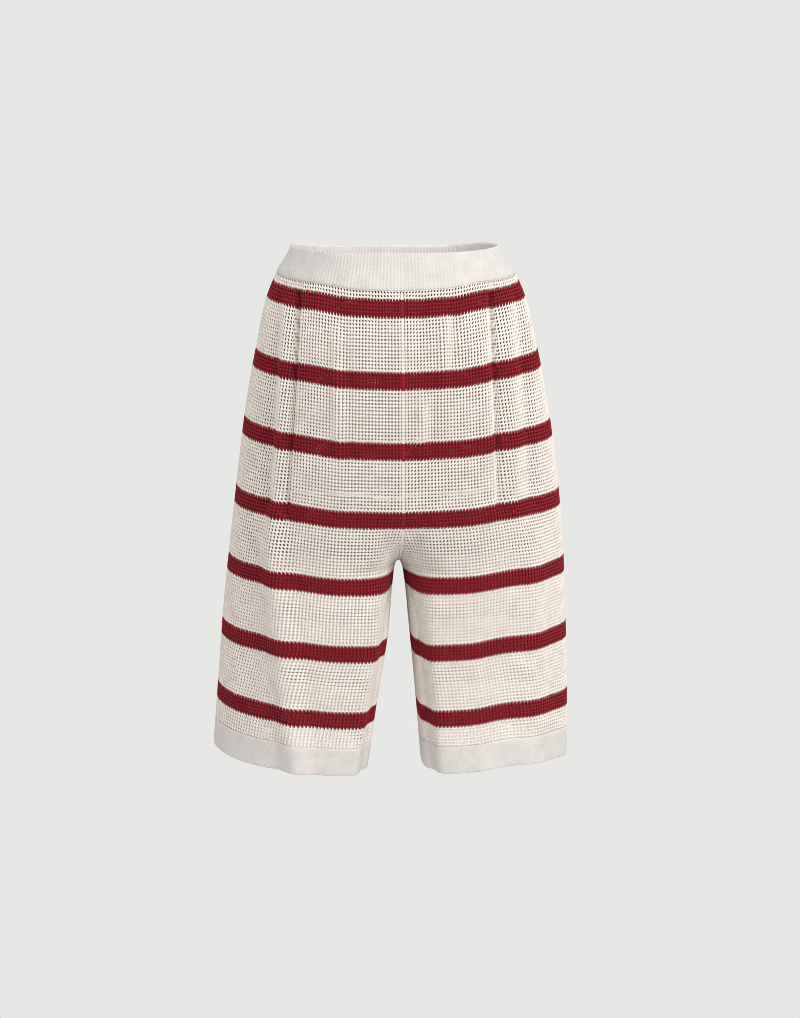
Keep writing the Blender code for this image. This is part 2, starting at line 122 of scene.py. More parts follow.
# How full the section is between knuckle and side: share of the way out, share of the depth
FRONT_FULLNESS = ((0.36, 0.95), (0.70, 0.70), (0.93, 0.36), (1.00, 0.12))
BACK_FULLNESS = ((0.42, 0.98), (0.78, 0.80), (0.97, 0.44), (1.00, 0.15))

# Folds of each panel, the fronts' pleats first. Of each: its distance from the centre where it starts
# and where it ends, half its width, its depth, which is negative for a trough, the heights where it
# starts and ends, and the height over which it starts.
FOLDS = {
    "front_right": (
        (0.119, 0.139, 0.0048, -0.0062, WAIST_SEAM, -0.320, 0.010),  # the pleat
        (0.132, 0.153, 0.011, 0.0036, WAIST_SEAM, -0.330, 0.020),  # its outer fold
        (0.143, 0.165, 0.012, -0.0042, WAIST_SEAM, -0.330, 0.020),  # hollow beside it
        (0.159, 0.119, 0.026, 0.0095, -0.260, -0.700, 0.080),  # crease down the leg
        (0.160, 0.182, 0.024, -0.0035, -0.080, -0.560, 0.060),  # hollow towards the side
        (0.078, 0.074, 0.016, -0.0030, WAIST_SEAM, -0.140, 0.010),  # gathers at the waistband
        (0.028, 0.032, 0.015, -0.0022, WAIST_SEAM, -0.170, 0.010),
        (0.078, 0.076, 0.009, 0.0056, -0.040, -0.250, 0.040),  # soft fold over the hip
        (0.064, 0.062, 0.010, -0.0040, -0.040, -0.250, 0.040),
    ),
    "front_left": (
        (0.107, 0.117, 0.008, -0.0065, WAIST_SEAM, -0.310, 0.010),  # the pleat
        (0.126, 0.137, 0.014, 0.0038, WAIST_SEAM, -0.320, 0.020),  # its outer fold
        (0.145, 0.160, 0.013, -0.0040, WAIST_SEAM, -0.320, 0.020),  # hollow beside it
        (0.157, 0.165, 0.032, 0.0060, -0.280, -0.700, 0.080),  # crease down the leg
        (0.112, 0.120, 0.030, -0.0035, -0.380, -0.640, 0.060),  # hollow towards the centre
        (0.022, 0.018, 0.016, -0.0028, WAIST_SEAM, -0.200, 0.010),  # gathers at the waistband
        (0.066, 0.060, 0.016, -0.0020, WAIST_SEAM, -0.120, 0.010),
        (0.050, 0.044, 0.009, 0.0056, -0.040, -0.160, 0.030),  # soft folds over the hip
        (0.063, 0.058, 0.010, -0.0040, -0.040, -0.160, 0.030),
        (0.022, 0.020, 0.009, 0.0054, -0.130, -0.240, 0.030),
        (0.036, 0.034, 0.010, -0.0040, -0.130, -0.240, 0.030),
        (0.094, 0.100, 0.012, 0.0025, -0.060, -0.260, 0.040),
    ),
    "back_right": (
        (0.030, 0.034, 0.017, -0.0028, WAIST_SEAM, -0.150, 0.010),  # gathers at the waistband
        (0.070, 0.078, 0.018, -0.0035, WAIST_SEAM, -0.190, 0.010),
        (0.108, 0.122, 0.017, -0.0028, WAIST_SEAM, -0.130, 0.010),
        (0.128, 0.138, 0.036, 0.0065, -0.330, -0.700, 0.080),  # crease down the leg
    ),
    "back_left": (
        (0.034, 0.030, 0.017, -0.0024, WAIST_SEAM, -0.130, 0.010),  # gathers at the waistband
        (0.064, 0.070, 0.018, -0.0038, WAIST_SEAM, -0.170, 0.010),
        (0.104, 0.114, 0.017, -0.0026, WAIST_SEAM, -0.150, 0.010),
        (0.126, 0.132, 0.036, 0.0060, -0.350, -0.700, 0.080),  # crease down the leg
    ),
}
FOLD_FADE = 0.060            # height over which a fold ends
FOLD_SIDE = 0.024            # width before the side seam over which a fold runs out

PANELS = ("front_right", "front_left", "back_right", "back_left")

# The knit on the panels: heights, and the width of a wale there, front and back. A wale is one column
# of stitches. They are counted from the centre, or from the inseam on the leg.
WALE_HEIGHTS = (0.020, WAIST_SEAM, -0.090, -0.220, -0.300, -0.450, -0.620)
WALE_WIDTHS = (0.00360, 0.00365, 0.00380, 0.00391, 0.00402, 0.00425, 0.00432)
FRONT_BASE = (-0.275, -0.460)      # between these heights the front's wales run past the crotch's web
BACK_BASE = -0.245                 # below it the back's wales run straight down, and the inner leg adds more
BACK_FLARE = 0.08                  # share of the drop by which the back's outer part widens there
HIP_LIFT = 0.0055                  # rise of a row from the belly to the hip, below the waistband
HIP_LIFT_SPAN = (0.33, 0.37)       # share of the way out at which it starts, and that it takes
BELLY_DROP = 0.0017                # drop of a row at the centre
PLEAT_TUCK = 0.018                 # cloth that the front's pleat holds at the waistband
PLEAT_TUCK_REACH = 0.005           # half the width over which the pleat takes it up
PLEAT_END = -0.330                 # height at which the pleat has let all of it go
FIRST_COURSE = 0.1                 # knit row at which the first full course of stitches lies
SHEET_SAMPLES = 300                # points across a panel at which its sheet is worked out
ARC_SAMPLES = 240                  # points along a section whose length is measured
NARROWEST_HOLE = 0.15              # share of a wale below which a cut stitch is left out
ALL_ROWS = 134                     # rows of whole holes
SEAT_ROWS = 68                     # rows down to the lower edge of the fourth stripe
HOLES_HIPS, HOLES_LEGS = -0.33, -0.40   # heights between which the holes grow smaller
HOLE_SHAPE = 0.88                  # width of a hole in wales over its height in rows
LEAN = 0.14                        # how far a hole's corners lean outwards above, in wales
BEHIND = 1000                      # marks the faces on the inside of the cloth

BANDS = {                          # panels above or below each band, in their order round it
    "waistband": ("front_left", "front_right", "back_right", "back_left"),
    "hem_right": ("back_right", "front_right"),
    "hem_left": ("front_left", "back_left"),
}

# Seams: the two panels, the column of their sheets that meets (0 at the side, -1 inside), the heights
# between which the seam runs and, towards the crotch, the height over which its points close up, then
# half its width and its height
SEAM_TOP, INSEAM_TOP = WAIST_SEAM - 0.001, CROTCH_Z - 0.0005
SEAMS = (
    ("centre_front_seam", PANELS[:2], -1, (SEAM_TOP, CROTCH_Z, FRONT_HOOK), 0.0018, 0.0013),
    ("centre_back_seam", PANELS[2:], -1, (SEAM_TOP, CROTCH_Z, BACK_HOOK), 0.0018, 0.0013),
    ("side_seam_right", ("front_right", "back_right"), 0, (SEAM_TOP, HEM_SEAM), 0.0014, 0.0011),
    ("side_seam_left", ("front_left", "back_left"), 0, (SEAM_TOP, HEM_SEAM), 0.0014, 0.0011),
    ("inseam_right", ("front_right", "back_right"), -1, (INSEAM_TOP, HEM_SEAM), 0.0015, 0.0012),
    ("inseam_left", ("front_left", "back_left"), -1, (INSEAM_TOP, HEM_SEAM), 0.0015, 0.0012),
)
SEAM_PROFILE = np.array([          # places across and up, in half widths and heights
    (-1.0, 0.0), (-0.72, 0.75), (-0.36, 1.0), (0.0, 0.62), (0.36, 1.0), (0.72, 0.75), (1.0, 0.0),
    (0.5, -0.5), (-0.5, -0.5)])
SEAM_SWELL, SEAM_SPREAD = 0.16, 0.3    # how much a linked stitch swells, and the share of it in its width
SEAM_POINTS = (140, 80, 60)        # heights along a seam: in all, or down to its close part and within it

# Noise in the yarn, per metre: tufts of fibre about 1 mm apart, and a shade that wanders over about
# 17 mm. Real fibres are too fine to show, so their tufts are drawn coarser.
FIBRES, CLOUDS = 900.0, 60.0
# Painted shade on the wrong side: the share of the light that is painted as reaching it, from all of it at
# the hems' edge (0) to the waist (1)
LIGHT_INSIDE = ((0.30, 0.8), (0.48, 0.0), (0.88, 0.0), (1.0, 1.0))

# Studio: each soft box's name, place and width, what they and the camera are aimed at, and the dome
LIGHTS = (("key", (2.3, -2.3, 0.7), 1.8), ("fill", (-2.2, -2.6, -0.1), 2.2),
          ("overhead", (0.4, -1.5, 2.2), 1.4))
LIGHTS_AIM = (0.0, 0.0, -0.3)
CAMERA_AIM = (0.0046, 0.0, -0.303)
DOME_RADIUS = 8.0
DOME_STEPS = (24, 12)              # faces round the dome, and from its foot to its top
SHARPNESS = 0.8                    # pixels over which a render blends: few, so that stitches stay crisp


def linear(hex_colour):
    """An sRGB hex colour as linear red, green and blue."""
    parts = [int(hex_colour[i:i + 2], 16) / 255 for i in (1, 3, 5)]
    return tuple(c / 12.92 if c <= 0.04045 else ((c + 0.055) / 1.055)**2.4 for c in parts)


# ---------------------------------------------------------------- sheets

def smoothstep(value):
    """0 up to 0, 1 from 1 on, and a smooth cubic step between them."""
    value = np.clip(value, 0.0, 1.0)
    return value * value * (3.0 - 2.0 * value)


def level(name, heights):
    """A column of LEVELS at the given heights, on a cubic curve through its rows."""
    table = LEVELS[::-1]
    knots = table[:, 0]
    values = table[:, LEVEL_COLUMNS.index(name)]
    slopes = np.gradient(values, knots)
    heights = np.clip(heights, knots[0], knots[-1])
    row = np.clip(np.searchsorted(knots, heights) - 1, 0, len(knots) - 2)
    span = knots[row + 1] - knots[row]
    t = (heights - knots[row]) / span
    return ((2 * t**3 - 3 * t**2 + 1) * values[row] + (t**3 - 2 * t**2 + t) * span * slopes[row]
            + (3 * t**2 - 2 * t**3) * values[row + 1] + (t**3 - t**2) * span * slopes[row + 1])


def spline_weights(controls, samples):
    """Weights of a clamped cubic B-spline: samples x controls."""
    degree = 3
    knots = np.concatenate([np.zeros(degree), np.linspace(0, 1, controls - degree + 1), np.ones(degree)])
    t = np.linspace(0.0, 1.0, samples)
    t[-1] -= 1e-12
    weights = ((t[:, None] >= knots[:-1]) & (t[:, None] < knots[1:])).astype(float)
    for order in range(1, degree + 1):
        rising = knots[order:-1] - knots[:-1 - order]
        falling = knots[order + 1:] - knots[1:-order]
        left = (t[:, None] - knots[:-1 - order]) / np.where(rising > 0, rising, 1.0) * (rising > 0)
        right = (knots[order + 1:] - t[:, None]) / np.where(falling > 0, falling, 1.0) * (falling > 0)
        weights = left * weights[:, :-1] + right * weights[:, 1:]
    return weights


def inner_seam(leg, face, z):
    """Where a panel ends at heights z: on a centre seam above the crotch, on the inseam below it.

    web runs from 0 at the crotch to 1 where the centre seam begins to curve back, arch from 0 at the
    crotch to 1 where the legs have parted, and forward from 0 to 1 as the inseam nears the front.
    """
    depth = level(face, z)
    above = np.clip(z - CROTCH_Z, 0.0, None)
    below = np.clip(CROTCH_Z - z, 0.0, None)
    web = np.clip(above / (FRONT_HOOK if face == "front" else BACK_HOOK), 0.0, 1.0)
    arch = np.sqrt(1 - (1 - np.clip(below / GUSSET_DROP, 0.0, 1.0))**2)
    forward = 1 - np.exp(-below / INSEAM_RUN)
    centre_y = CROTCH_Y + (depth - CROTCH_Y) * np.sqrt(1 - (1 - web)**2)
    inseam_y = CROTCH_Y + (level("front", z) + INSEAM_SETBACK - CROTCH_Y) * forward
    gap = level("in_" + leg, np.minimum(z, CROTCH_Z))
    return gap, np.where(z < CROTCH_Z, inseam_y, centre_y), web, arch, forward


def section(panel, z, samples=ARC_SAMPLES):
    """Sections of one panel at heights z, from the side seam to the inner seam.

    Each is a cubic B-spline whose control points are the side seam, the fullness of the outer half,
    the knuckle, and either the web that joins the legs or the inner side of the leg. web, forward and
    arch, between 0 and 1, lead the points from the one to the other.
    """
    face, leg = panel.split("_")
    gap, end_y, web, arch, forward = inner_seam(leg, face, z)
    out, knuckle = level("out_" + leg, z), level("knuckle", z)
    depth, side = level(face, z), level("side_" + leg, z)
    points = [(out, side)]
    for across, deep in reversed(FRONT_FULLNESS if face == "front" else BACK_FULLNESS):
        toward_side = max(0.0, (across - SIDE_PULL[0]) / SIDE_PULL[1])
        points.append((knuckle + across * (out - knuckle), deep * depth + toward_side * side))
    reach = end_y - depth
    still = 1 - forward
    parted = gap * arch
    root = np.sqrt(1 - (1 - web)**2)
    web = smoothstep(web)
    near_end = parted + WEB_EDGE * (1 - arch) + (WEB_KNUCKLE[4] * knuckle - WEB_EDGE) * root
    if face == "front":
        corner = gap + CORNER[0]
        points += [
            (BELLY * knuckle, depth),
            (corner + (WEB_KNUCKLE[0] * knuckle - corner) * web,
             depth + CORNER_LIFT * reach * still + CORNER_SINK * forward),
            (near_end + LIP_TURN[0] * INSEAM_LIP * forward, end_y - ARCH_DEPTH[0] * arch),
        ]
    else:
        corner = gap + CORNER[1]
        inner = gap + BACK_ROUND
        drawn_in = BACK_ROUND * forward
        off_centre, behind = BACK_LEAD
        points += [
            (knuckle, depth),
            (corner - drawn_in + (WEB_KNUCKLE[1] * knuckle - corner) * web, end_y - WEB_DEPTH[0] * reach),
            (inner - drawn_in + (WEB_KNUCKLE[2] * knuckle - inner) * web, end_y - WEB_DEPTH[1] * reach),
            (parted - WEB_EDGE * forward + off_centre * still
             + (WEB_KNUCKLE[3] * knuckle - off_centre) * root,
             end_y - WEB_DEPTH[2] * reach * still + behind * forward),
            (near_end + LIP_TURN[1] * INSEAM_LIP * forward, end_y + ARCH_DEPTH[1] * arch * still + drawn_in),
        ]
    points.append((parted + INSEAM_LIP * forward, end_y))
    controls = np.stack([np.stack(np.broadcast_arrays(x, y), axis=-1) for x, y in points], axis=1)
    return np.einsum("sk,rkc->rsc", spline_weights(controls.shape[1], samples), controls)


def fold_relief(panel, points):
    """How far the folds move each point out along its normal: one cosine bell across each fold."""
    x, z = np.abs(points[..., 0]), points[..., 2]
    to_side = x[:, :1] - x
    relief = np.zeros_like(x)
    for x_top, x_bottom, reach, depth, z_top, z_bottom, onset in FOLDS[panel]:
        down = np.clip((z_top - z) / (z_top - z_bottom), 0.0, 1.0)
        centre = x_top + (x_bottom - x_top) * down
        across = np.clip(np.abs(x - centre) / reach, 0.0, 1.0)
        begin = smoothstep((z_top - z) / onset)
        end = smoothstep((z - z_bottom) / FOLD_FADE)
        relief += depth * 0.5 * (1 + np.cos(np.pi * across)) * begin * end
    return relief * smoothstep(to_side / FOLD_SIDE)


def outward_sign(panel):
    """+1 where the cross product of columns and rows points out of the garment, -1 where it points in."""
    return -1.0 if panel in ("front_right", "back_left") else 1.0


def unit(vectors):
    """Vectors divided by their lengths."""
    return vectors / np.maximum(np.linalg.norm(vectors, axis=-1, keepdims=True), 1e-12)


def facing(grid, sign):
    """Outward normals of a grid of points: the cross product of its slopes along columns and rows."""
    return unit(sign * np.cross(np.gradient(grid, axis=1), np.gradient(grid, axis=0)))


def panel_sheet(panel, z):
    """Points, normals and arc lengths of a panel at heights z, at even steps from the side seam inwards.

    The section's spline gives x and y. Rows climb towards the side by the rise of the figure and over the
    hips by their lift, and drop over the belly and at the centre back by its dip. Each fold then moves
    the points along their normals.
    """
    face, leg = panel.split("_")
    curve = section(panel, z, SHEET_SAMPLES)
    steps = np.linalg.norm(np.diff(curve, axis=1), axis=2)
    arcs = np.concatenate([np.zeros((len(z), 1)), np.cumsum(steps, axis=1)], axis=1)
    shares = np.linspace(0.0, 1.0, SHEET_SAMPLES)
    grid = np.zeros((len(z), SHEET_SAMPLES, 3))
    for row, arc in enumerate(arcs):
        grid[row, :, 0] = np.interp(shares * arc[-1], arc, curve[row, :, 0])
        grid[row, :, 1] = np.interp(shares * arc[-1], arc, curve[row, :, 1])
    out, depth, side = (level(name, z)[:, None] for name in ("out_" + leg, face, "side_" + leg))
    from_side = np.clip((grid[..., 1] - side) / (depth - side), 0.0, 1.0)
    outward = np.clip(grid[..., 0] / out, 0.0, 1.0)
    climb = np.clip((outward - LEVEL_SHARE) / (1 - LEVEL_SHARE), 0.0, 1.0)**2
    grid[..., 2] = z[:, None] + level("rise_" + leg, z)[:, None] * (1 - from_side) * climb
    below_band = smoothstep((WAIST_EDGE - z) / (WAIST_EDGE - WAIST_SEAM))[:, None]
    grid[..., 2] += HIP_LIFT * below_band * smoothstep((outward - HIP_LIFT_SPAN[0]) / HIP_LIFT_SPAN[1])
    grid[..., 2] -= BELLY_DROP * below_band**2 * (1 - smoothstep(outward / HIP_LIFT_SPAN[1]))
    if face == "back":
        grid[..., 2] -= level("dip", z)[:, None] * smoothstep(2 * (1 - outward))
    if leg == "right":
        grid[..., 0] *= -1
    sign = outward_sign(panel)
    grid += facing(grid, sign) * fold_relief(panel, grid)[..., None]
    return grid, facing(grid, sign), arcs[:, -1]


def arc_length(panel, z):
    """Length of a panel's section at heights z."""
    return np.linalg.norm(np.diff(section(panel, np.atleast_1d(z)), axis=1), axis=2).sum(axis=1)


def wale_numbers(panel, z, grid, lengths):
    """The wale at each point of a sheet, counted from the centre line outwards.

    It is the distance from the centre line over the width of a wale, plus the wales that the pleat
    holds once the pleat is passed. The web between the legs, inside the centre line, counts below 0.
    """
    face = panel.split("_")[0]
    base = lengths.copy()
    if face == "front":
        top, bottom = FRONT_BASE
        ends = arc_length(panel, np.array([top, bottom]))
        inside = (z < top) & (z > bottom)
        base[inside] = (ends[0] + (ends[1] - ends[0]) * (top - z) / (top - bottom))[inside]
    else:
        below = z < BACK_BASE
        base[below] = (arc_length(panel, BACK_BASE) + BACK_FLARE * (BACK_BASE - z))[below]
    from_side = np.linspace(0.0, 1.0, grid.shape[1]) * lengths[:, None]
    from_centre = base[:, None] - from_side
    width = np.interp(-z, -np.array(WALE_HEIGHTS), WALE_WIDTHS)[:, None]
    if face == "back":
        return from_centre / width
    x_top, x_bottom, _, _, z_top, z_bottom, _ = FOLDS[panel][0]
    down = np.clip((z_top - z) / (z_top - z_bottom), 0.0, 1.0)
    centre = x_top + (x_bottom - x_top) * down
    beyond = smoothstep(0.5 + (np.abs(grid[..., 0]) - centre[:, None]) / (2 * PLEAT_TUCK_REACH))
    tucked = PLEAT_TUCK * smoothstep((z - PLEAT_END) / (WAIST_SEAM - PLEAT_END))
    return (from_centre + beyond * tucked[:, None]) / width


def pick(grid, places):
    """Points of each row of a grid at fractional columns."""
    before = np.clip(places.astype(int), 0, grid.shape[1] - 2)
    part = (places - before)[..., None]
    first = np.take_along_axis(grid, before[..., None], axis=1)
    second = np.take_along_axis(grid, before[..., None] + 1, axis=1)
    return first * (1 - part) + second * part


class Course:
    """One kind of line across a panel, at the same place in every row of knit."""

    def __init__(self, panel, rows):
        self.rows = rows
        z = WAIST_SEAM - KNIT_ROW * rows
        self.grid, self.normals, lengths = panel_sheet(panel, z)
        self.wales = wale_numbers(panel, z, self.grid, lengths)

    def at(self, wales):
        """Points and normals at the given wale numbers, held within the panel."""
        columns = np.arange(self.grid.shape[1])
        places = np.array([np.interp(want, known[::-1], columns[::-1])
                           for want, known in zip(wales, self.wales)])
        return pick(self.grid, places), unit(pick(self.normals, places))

    def ends(self):
        """The lowest and the highest wale number of each row."""
        return self.wales.min(axis=1)[:, None], self.wales.max(axis=1)[:, None]


def is_red(rows):
    """True for the knit rows inside a red stripe."""
    inside = (rows - FIRST_STRIPE) % REPEAT_ROWS < STRIPE_ROWS
    return inside & (rows > FIRST_STRIPE) & (rows < FIRST_STRIPE + REPEAT_ROWS * STRIPES)


# ---------------------------------------------------------------- the net

def net(panel, sizes, first_row, last_row):
    """Vertices, triangles, texture places and slots of the open knit between two rows of a panel.

    Stitches cross at every whole wale and course and stand out there to the yarn's full height. Each
    hole lies round the middle between four crossings, with a rim in front and one behind. A rim's four
    corners are at its share of a row above and below, a little less of a wale to each side, and lean
    outwards above and inwards below. Holes are larger at the hips than on the legs, and behind they are
    closed in, most in the red stripes and on the back panels. The cloth runs from the crossings to the
    front rims, through the holes to the back rims, and flat from hole to hole behind.
    """
    rng = np.random.default_rng(sizes.seed + PANELS.index(panel))
    rows = np.arange(int(KNIT_ROWS - FIRST_COURSE) + 1)
    middles = FIRST_COURSE + rows[:-1] + 0.5
    hips = smoothstep((WAIST_SEAM - KNIT_ROW * middles - HOLES_LEGS) / (HOLES_HIPS - HOLES_LEGS))
    front = (sizes.hole_leg + (sizes.hole - sizes.hole_leg) * hips) / KNIT_ROW / 2
    closing = np.where(is_red(middles), sizes.narrowing_red, sizes.narrowing)
    behind = front * (closing if panel in PANELS[:2] else sizes.narrowing_back)
    crossing = Course(panel, FIRST_COURSE + rows)
    middle = Course(panel, middles)
    low, high = middle.ends()
    wales = np.arange(math.floor(low.min()), math.ceil(high.max()) + 1)
    left, right = np.clip(wales[:-1], low, high), np.clip(wales[1:], low, high)
    width, centre = right - left, (left + right) / 2
    valid = (width > NARROWEST_HOLE) & (rows[:-1] >= first_row)[:, None] & (rows[:-1] < last_row)[:, None]
    edge_low, edge_high = crossing.ends()
    inside = (wales > edge_low) & (wales < edge_high) & (rows > 0)[:, None] & (rows < rows[-1])[:, None]

    parts = [("J", crossing, wales, sizes.crossing * inside, inside, wales)]
    for name, share, height in (("", front, sizes.rim), ("'", behind, -sizes.back)):
        above, below = Course(panel, middles - share), Course(panel, middles + share)
        across = HOLE_SHAPE * share[:, None]
        for corner, course, side in (("A", above, LEAN - across), ("B", above, LEAN + across),
                                     ("C", below, across - LEAN), ("D", below, -LEAN - across)):
            texture = wales[:-1] + 0.5 + side
            parts.append((corner + name, course, centre + side * width, height, 1.0, texture))
    points, places, index, total = [], [], {}, 0
    for name, course, across, height, loose, texture in parts:
        where, normals = course.at(np.broadcast_to(across, (len(course.rows), across.shape[-1])))
        shape = where.shape[:2]
        uneven = rng.normal(0.0, sizes.unevenness, where.shape) * np.broadcast_to(loose, shape)[..., None]
        points.append((where + normals * np.broadcast_to(height, shape)[..., None] + uneven).reshape(-1, 3))
        texture = np.broadcast_arrays(texture, FIRST_COURSE - course.rows[:, None])
        places.append(np.stack(texture, axis=-1).reshape(-1, 2))
        index[name] = total + np.arange(shape[0] * shape[1]).reshape(shape)
        total += shape[0] * shape[1]
    faces, belongs = net_faces(index, valid)
    if outward_sign(panel) > 0:
        faces = faces[:, ::-1]
    # Faces inside the cloth take slots 2 and 3, the wrong sides in painted shade.
    slots = is_red(FIRST_COURSE + belongs % BEHIND) + 2 * (belongs >= BEHIND)
    return np.concatenate(points), faces, np.concatenate(places), slots


def net_faces(index, valid):
    """Triangles round every hole, and the row each belongs to, plus BEHIND on the inside of the cloth.

    Each side of a hole has two in front and two through the hole. Behind, two cover each bar between
    two holes and two each crossing between four. Where a hole has no neighbour, its side is closed from
    the crossings' line to the back rim, and crossings with fewer than four holes fan out from there.
    """
    padded = np.pad(valid, 1)
    up, right, down, left = (padded[:-2, 1:-1], padded[1:-1, 2:], padded[2:, 1:-1], padded[1:-1, :-2])
    crossings = index["J"]
    grids = {"J00": crossings[:-1, :-1], "J01": crossings[:-1, 1:], "J11": crossings[1:, 1:],
             "J10": crossings[1:, :-1], **{name: grid for name, grid in index.items() if name != "J"}}
    faces, belongs = [], []

    def add(mask, row, *corners):
        """Adds a triangle for each hole that the mask marks, at its corners from the grids."""
        where = np.nonzero(mask)
        faces.append(np.stack([grid[where] for grid in corners], axis=-1))
        belongs.append(where[0] + row)

    for start, end, near, far, beyond, first, second in (
            ("J00", "J01", "A", "B", up, 0, 0), ("J01", "J11", "B", "C", right, 1, 0),
            ("J11", "J10", "C", "D", down, 1, 1), ("J10", "J00", "D", "A", left, 0, 1)):
        s, e, n, f, n_back, f_back = (grids[name] for name in (start, end, near, far, near + "'", far + "'"))
        add(valid, first, s, e, f)
        add(valid, second, s, f, n)
        add(valid, first, n, f, f_back)
        add(valid, second, n, f_back, n_back)
        edge = valid & ~beyond
        add(edge, first, e, s, n_back)
        add(edge, second, e, n_back, f_back)

    a, b, c, d = (grids[name + "'"] for name in "ABCD")
    pair = valid[:-1] & valid[1:]
    add(pair, 1 + BEHIND, c[:-1], d[:-1], a[1:])
    add(pair, 1 + BEHIND, c[:-1], a[1:], b[1:])
    pair = valid[:, :-1] & valid[:, 1:]
    add(pair, BEHIND, b[:, :-1], c[:, :-1], d[:, 1:])
    add(pair, BEHIND, b[:, :-1], d[:, 1:], a[:, 1:])
    a, b, c, d = (np.pad(grid, 1) for grid in (a, b, c, d))
    corners = (c[:-1, :-1], b[1:, :-1], a[1:, 1:], d[:-1, 1:])
    holes = (padded[:-1, :-1], padded[1:, :-1], padded[1:, 1:], padded[:-1, 1:])
    full = holes[0] & holes[1] & holes[2] & holes[3]
    add(full, BEHIND, corners[0], corners[1], corners[2])
    add(full, BEHIND, corners[0], corners[2], corners[3])
    for one in range(4):
        other = (one + 1) % 4
        add(holes[one] & holes[other] & ~full, 0, corners[one], corners[other], crossings)
    return np.concatenate(faces), np.concatenate(belongs)


# ---------------------------------------------------------------- bands and seams

def band_sheet(panels, z, columns):
    """Points and normals round a band, from the left side or the outer side, at falling heights z."""
    points, normals = [], []
    for panel, count in zip(panels, columns):
        grid, lean, _ = panel_sheet(panel, z)
        places = np.broadcast_to(np.linspace(0, SHEET_SAMPLES - 1, count + 1), (len(z), count + 1))
        kept = np.s_[:, :-1] if outward_sign(panel) > 0 else np.s_[:, :0:-1]
        points.append(pick(grid, places)[kept])
        normals.append(unit(pick(lean, places))[kept])
    return np.concatenate(points, axis=1), np.concatenate(normals, axis=1)


def ring_faces(rows, columns, closed=False):
    """Quads on a grid of points whose columns close round, and if closed its rows too."""
    index = np.arange(rows * columns).reshape(rows, columns)
    if closed:
        index = np.concatenate([index, index[:1]])
    beside = np.roll(index, -1, axis=1)
    return np.stack([index[:-1], beside[:-1], beside[1:], index[1:]], axis=-1).reshape(-1, 4)


def folded_profile(seam, edge, wall, stitch_row):
    """Height, offset and texture row of each line of cloth folded double, from a seam to an edge and back.

    The offset is half the wall outside and minus half inside, and follows half a circle round the
    edge. At the seam the cloth is pressed thin. Texture rows are the length of profile so far over
    the height of a stitch.
    """
    way = 1.0 if edge > seam else -1.0
    radius = wall / 2
    outside = [(z, radius) for z in np.linspace(seam + way * SEAM_BEVEL, edge - way * radius, BAND_LINES)]
    fold = [(edge + way * radius * (math.sin(turn) - 1), radius * math.cos(turn))
            for turn in np.linspace(0, math.pi, FOLD_STEPS + 2)[1:-1]]
    inside = [(z, -offset) for z, offset in reversed(outside)]
    lines = np.array([(seam, SEAM_WALL / 2), *outside, *fold, *inside, (seam, -SEAM_WALL / 2)])
    run = np.concatenate([[0.0], np.cumsum(np.linalg.norm(np.diff(lines, axis=0), axis=1))])
    return lines[:, 0], lines[:, 1], -run / stitch_row


def band(name, seam, edge, profile, stitch, columns, relief=None):
    """A band of cloth folded double, closed all round.

    Each line of the profile lies at its height on the panels' sheet, moved along the normals by its
    offset plus the relief of the stitches. A line past the sheet's ends is moved up or down to its
    height.
    """
    heights, offsets, down = profile
    levels = np.linspace(max(seam, edge), min(seam, edge), BAND_SHEETS)
    sheet, lean = (grid.transpose(1, 0, 2) for grid in band_sheet(BANDS[name], levels, columns))
    around = len(sheet)
    places = np.broadcast_to(np.interp(-heights, -levels, np.arange(len(levels))), (around, len(heights)))
    points = pick(sheet, places).transpose(1, 0, 2)
    normals = unit(pick(lean, places)).transpose(1, 0, 2)
    lift = np.broadcast_to(offsets[:, None], points.shape[:2]).copy()
    if relief is not None:
        lift += np.sign(offsets)[:, None] * relief(np.arange(around)[None, :], np.abs(offsets)[:, None])
    points = points + normals * lift[..., None]
    past_ends = np.minimum(0.0, heights - levels[-1]) + np.maximum(0.0, heights - levels[0])
    points[..., 2] += past_ends[:, None]
    texture = np.stack(np.broadcast_arrays(np.arange(around)[None, :] / stitch, down[:, None]), axis=-1)
    return points.reshape(-1, 3), ring_faces(len(heights), around, closed=True), texture.reshape(-1, 2)


def seam_line(panels, column, z):
    """Points, normals and knit rows of the line where two panels meet, at heights z."""
    sheets = [panel_sheet(panel, z) for panel in panels]
    points = np.mean([sheet[0][:, column] for sheet in sheets], axis=0)
    normals = unit(np.mean([sheet[1][:, column] for sheet in sheets], axis=0))
    return points, normals, (WAIST_SEAM - z) / KNIT_ROW


def seam_heights(top, bottom, close_to=None):
    """Heights from top to bottom, closer together by a sine over the last close_to of them."""
    plain, far, near = SEAM_POINTS
    if close_to is None:
        return np.linspace(top, bottom, plain)
    closing = bottom + close_to * (1 - np.sin(np.linspace(0, math.pi / 2, near)))
    return np.concatenate([np.linspace(top, bottom + close_to, far)[:-1], closing])


